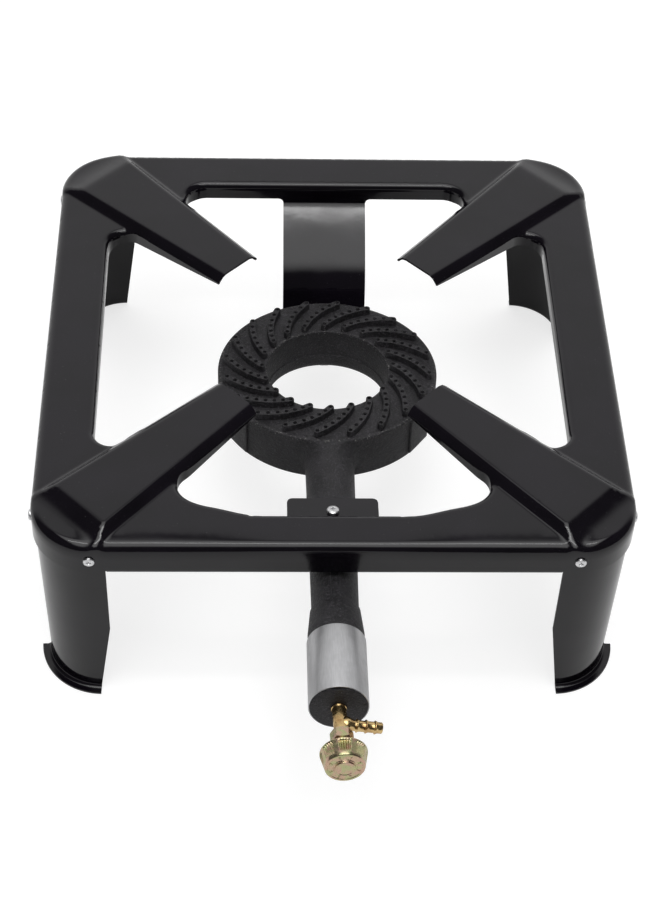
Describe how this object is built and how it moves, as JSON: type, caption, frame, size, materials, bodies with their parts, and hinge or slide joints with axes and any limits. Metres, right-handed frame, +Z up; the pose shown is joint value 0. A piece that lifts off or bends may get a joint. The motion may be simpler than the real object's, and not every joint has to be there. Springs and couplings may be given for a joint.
{
  "type": "propane burner stand",
  "caption": "Low square propane burner stand: pressed frame with raised pot arms on corner legs, cast ring burner with ridged ports, sliding air sleeve, needle valve and hose barb.",
  "frame": {"origin": "middle of the whole stand's bounding box in plan, on the floor under the feet", "axes": "+Z up, -Y towards the control knob, +X to the right seen from the knob's side"},
  "size_m": [0.4048, 0.5532, 0.16],
  "materials": {
    "gloss_black_paint": "gloss",
    "cast_iron": "rough",
    "zinc_screws": "satin",
    "galvanised_sleeve": "brushed",
    "brass": "satin",
    "yellow_plated": "satin",
    "spindle_steel": "satin",
    "seal_rubber": "matte"
  },
  "bodies": {
    "stand": {"top_frame": "gloss_black_paint", "leg_rear_right": "gloss_black_paint", "leg_rear_left": "gloss_black_paint", "leg_front_left": "gloss_black_paint", "leg_front_right": "gloss_black_paint", "leg_screws": "zinc_screws", "leg_nuts": "zinc_screws", "burner_body": "cast_iron", "burner_head": "cast_iron", "tab_screw": "zinc_screws", "ring_bolt": "zinc_screws", "ring_washer": "zinc_screws", "valve_body": "brass", "hose_barb": "brass", "injector_jet": "brass", "gland_nut": "yellow_plated"},
    "air_sleeve": {"air_sleeve": "galvanised_sleeve"},
    "stem_seal": {"stem_seal": "seal_rubber", "seal_washer": "brass"},
    "knob": {"valve_spindle": "spindle_steel", "control_knob": "yellow_plated"}
  },
  "joints": [
    {"name": "air_sleeve_slide", "type": "slide", "parent": "stand", "child": "air_sleeve", "axis": [0, 0.9956, -0.0941], "range_m": [0, 0.03]},
    {"name": "spindle_travel", "type": "slide", "parent": "stand", "child": "stem_seal", "axis": [0.0523, -0.9942, 0.094], "range_m": [0, 0.0015]},
    {"name": "knob_turn", "type": "hinge", "parent": "stem_seal", "child": "knob", "pos_m": [0, -0.22702, 0.11994], "axis": [0.0523, -0.9942, 0.094], "range_deg": [0, 540]}
  ],
  "couplings": [
    {"joint": "knob_turn", "follows": "spindle_travel", "rad_per_m": 6283.2}
  ]
}
